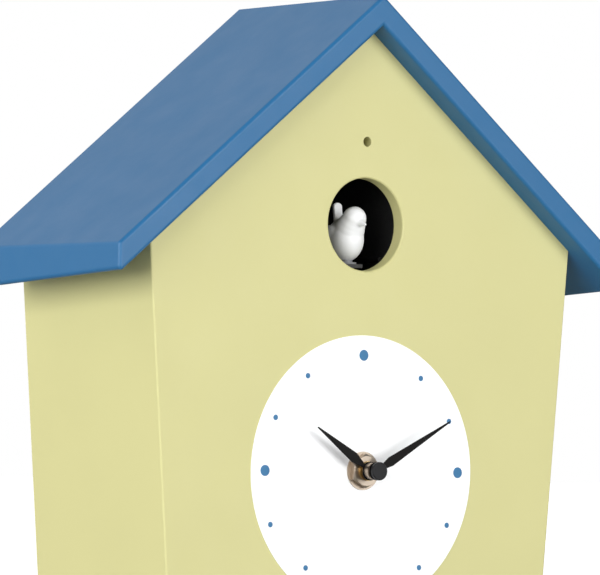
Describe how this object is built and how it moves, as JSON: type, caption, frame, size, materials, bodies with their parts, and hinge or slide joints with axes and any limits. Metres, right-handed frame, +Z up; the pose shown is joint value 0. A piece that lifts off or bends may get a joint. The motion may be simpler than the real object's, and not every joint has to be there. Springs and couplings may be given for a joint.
{
  "type": "cuckoo clock",
  "caption": "Gabled house-shaped clock with a round dial, two hands, a bird on a sliding carriage behind a round hole, and a battery movement.",
  "frame": {"origin": "middle of the underside of the case, on the surface it stands on", "axes": "+Z up, the dial faces -Y, +X to the right as seen from the front"},
  "size_m": [0.25, 0.1032, 0.3],
  "materials": {
    "case_paint": "matt pale yellow paint on board",
    "roof_paint": "matt mid blue paint on board",
    "bare_board": "bare fibreboard",
    "zinc_steel": "zinc plated",
    "black_steel": "black oxide",
    "nickel": "nickel plated",
    "brass": "turned brass",
    "copper": "enamelled copper wire",
    "dial_white": "matt white print",
    "dial_blue": "matt blue print",
    "hand_black": "satin black",
    "cap_black": "satin black",
    "black_plastic": "fine moulded texture",
    "white_plastic": "natural acetal",
    "bird_white": "satin moulded white",
    "grey_plastic": "moulded grey",
    "rubber": "soft black",
    "board_green": "solder resist",
    "cell_wrap": "printed-free sleeve with bare ends",
    "paper": "pulp cone"
  },
  "bodies": {
    "case": {"front_panel": "case_paint", "left_wall": "case_paint", "right_wall": "case_paint", "base_board": "case_paint", "roof_left": "roof_paint", "roof_right": "roof_paint", "back_panel": "bare_board", "back_cleats": "bare_board", "back_screws": "zinc_steel", "hanger_plate": "zinc_steel", "dial_disc": "dial_white", "hour_dots": "dial_blue", "dial_washer": "nickel", "hex_nut": "nickel", "threaded_bush": "brass", "movement_gasket": "rubber", "movement_front_case": "black_plastic", "movement_rear_case": "black_plastic", "train_plate": "white_plastic", "stator": "zinc_steel", "coil": "copper", "movement_board": "board_green", "movement_cell": "cell_wrap", "battery_contacts": "zinc_steel", "cuckoo_housing": "black_plastic", "module_screws": "zinc_steel", "guide_rods": "black_steel", "drive_axle": "zinc_steel", "gear_brackets": "white_plastic", "motor": "zinc_steel", "sound_board": "board_green", "speaker_frame": "zinc_steel", "speaker_cone": "paper", "rear_cover": "black_plastic", "power_cells": "cell_wrap", "light_sensor": "black_plastic"},
    "minute": {"minute_arbor": "brass", "minute_hand": "hand_black", "minute_collet": "nickel", "hand_nut": "nickel", "hand_cap": "cap_black"},
    "hour": {"hour_wheel": "white_plastic", "hour_hand": "hand_black", "hour_collet": "nickel"},
    "motion": {"minute_wheel": "white_plastic"},
    "setting": {"setting_knob": "grey_plastic"},
    "centre": {"centre_wheel": "white_plastic"},
    "third": {"third_wheel": "white_plastic"},
    "fourth": {"fourth_wheel": "white_plastic"},
    "step": {"step_wheel": "white_plastic"},
    "magnet": {"rotor": "zinc_steel"},
    "carriage": {"bird_carriage": "black_plastic", "bird_perch": "grey_plastic", "bird": "bird_white"},
    "drive": {"drive_gear": "white_plastic"},
    "motor_shaft": {"motor_pinion": "brass"},
    "door": {"battery_door": "black_plastic"},
    "switch": {"sound_switch": "grey_plastic"}
  },
  "joints": [
    {"name": "minute_turn", "type": "hinge", "parent": "case", "child": "minute", "pos_m": [0, -0.035, 0.11095], "axis": [0, 1, 0], "continuous": true},
    {"name": "hour_turn", "type": "hinge", "parent": "case", "child": "hour", "pos_m": [0, -0.0364, 0.11095], "axis": [0, 1, 0], "continuous": true},
    {"name": "motion_turn", "type": "hinge", "parent": "case", "child": "motion", "pos_m": [0.0048, -0.035, 0.11926], "axis": [0, 1, 0], "continuous": true},
    {"name": "setting_turn", "type": "hinge", "parent": "case", "child": "setting", "pos_m": [0.01382, -0.03, 0.12255], "axis": [0, 1, 0], "continuous": true},
    {"name": "rotor_turn", "type": "hinge", "parent": "case", "child": "magnet", "pos_m": [0.00248, -0.028, 0.12876], "axis": [0, 1, 0], "continuous": true},
    {"name": "step_turn", "type": "hinge", "parent": "case", "child": "step", "pos_m": [-0.0028, -0.029, 0.12876], "axis": [0, 1, 0], "continuous": true},
    {"name": "fourth_turn", "type": "hinge", "parent": "case", "child": "fourth", "pos_m": [-0.00938, -0.03, 0.12637], "axis": [0, 1, 0], "continuous": true},
    {"name": "third_turn", "type": "hinge", "parent": "case", "child": "third", "pos_m": [-0.00781, -0.031, 0.11751], "axis": [0, 1, 0], "continuous": true},
    {"name": "centre_turn", "type": "hinge", "parent": "case", "child": "centre", "pos_m": [0, -0.0335, 0.11095], "axis": [0, 1, 0], "continuous": true},
    {"name": "bird_slide", "type": "slide", "parent": "case", "child": "carriage", "axis": [0, -1, 0], "range_m": [0, 0.022]},
    {"name": "drive_turn", "type": "hinge", "parent": "case", "child": "drive", "pos_m": [0, -0.0115, 0.1812], "axis": [1, 0, 0], "range_deg": [0, 263]},
    {"name": "motor_turn", "type": "hinge", "parent": "case", "child": "motor_shaft", "pos_m": [0.005, -0.0115, 0.1727], "axis": [1, 0, 0], "range_deg": [-631, 0]},
    {"name": "door_swing", "type": "hinge", "parent": "case", "child": "door", "pos_m": [0, 0.0349, 0.1915], "axis": [-1, 0, 0], "range_deg": [0, 100]},
    {"name": "switch_slide", "type": "slide", "parent": "case", "child": "switch", "axis": [1, 0, 0], "range_m": [0, 0.004]}
  ],
  "couplings": [
    {"joint": "hour_turn", "follows": "minute_turn", "ratio": 0.083333},
    {"joint": "motion_turn", "follows": "minute_turn", "ratio": -0.33333},
    {"joint": "setting_turn", "follows": "minute_turn", "ratio": 1},
    {"joint": "step_turn", "follows": "rotor_turn", "ratio": -0.2},
    {"joint": "fourth_turn", "follows": "rotor_turn", "ratio": 0.033333},
    {"joint": "third_turn", "follows": "rotor_turn", "ratio": -0.0041667},
    {"joint": "centre_turn", "follows": "rotor_turn", "ratio": 0.00055556},
    {"joint": "drive_turn", "follows": "bird_slide", "rad_per_m": 208.33},
    {"joint": "motor_turn", "follows": "bird_slide", "rad_per_m": -500}
  ]
}
